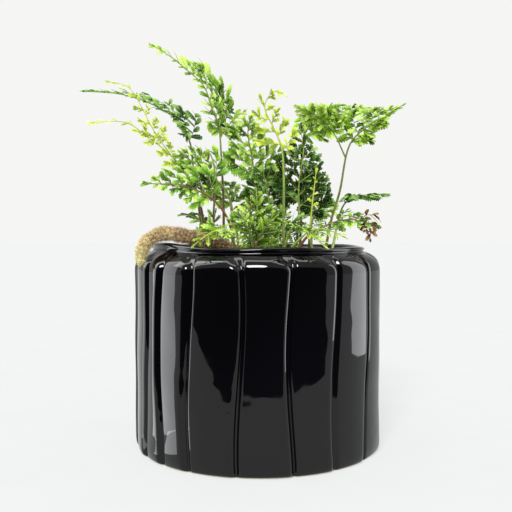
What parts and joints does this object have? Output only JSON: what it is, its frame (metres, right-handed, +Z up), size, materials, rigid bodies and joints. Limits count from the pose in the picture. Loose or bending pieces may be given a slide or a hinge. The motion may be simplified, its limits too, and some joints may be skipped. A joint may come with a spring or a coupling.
{
  "type": "potted fern",
  "caption": "Young rabbit's foot fern with arching lace-like fronds and a furry rhizome creeping over the rim of a glazed pot with draped vertical panels.",
  "frame": {"origin": "centre of the pot's flat foot", "axes": "+Z up out of the pot, -Y towards the plant's front, +X to the right of the front view"},
  "size_m": [0.1562, 0.1192, 0.1912],
  "materials": {
    "glaze": "glossy black glaze",
    "mix": "dark crumbly potting mix of peat and bark, with the root ball in it",
    "rhizome": "golden-brown furry scales",
    "leaf_mature": "satin mid-green leaf",
    "leaf_dark": "satin dark green leaf",
    "leaf_young": "soft yellow-green young leaf",
    "leaf_fresh": "satin light green leaf"
  },
  "bodies": {
    "root": {"pot": "glaze", "potting_mix": "mix", "rhizome": "rhizome", "frond_tall_left": "leaf_mature", "frond_left_arch": "leaf_dark", "frond_young_left": "leaf_young", "frond_low_left": "leaf_mature", "frond_mid_left": "leaf_mature", "frond_centre": "leaf_mature", "frond_curled_tip": "leaf_young", "frond_large_right": "leaf_fresh", "frond_right_back": "leaf_mature", "frond_dark_upright": "leaf_dark", "frond_dark_right": "leaf_dark", "frond_dark_left": "leaf_dark", "frond_low_right": "leaf_dark", "frond_withered": "leaf_mature", "frond_small_right": "leaf_fresh", "frond_front_right": "leaf_fresh", "frond_front_left": "leaf_fresh", "frond_thin_stalk": "leaf_young", "frond_fiddlehead": "leaf_young", "tuft_left": "leaf_fresh", "tuft_front": "leaf_fresh", "tuft_middle": "leaf_mature", "tuft_centre": "leaf_mature", "frond_back_left": "leaf_mature", "frond_back_middle": "leaf_dark", "frond_back_right": "leaf_mature", "frond_side_left": "leaf_dark"}
  },
  "joints": []
}
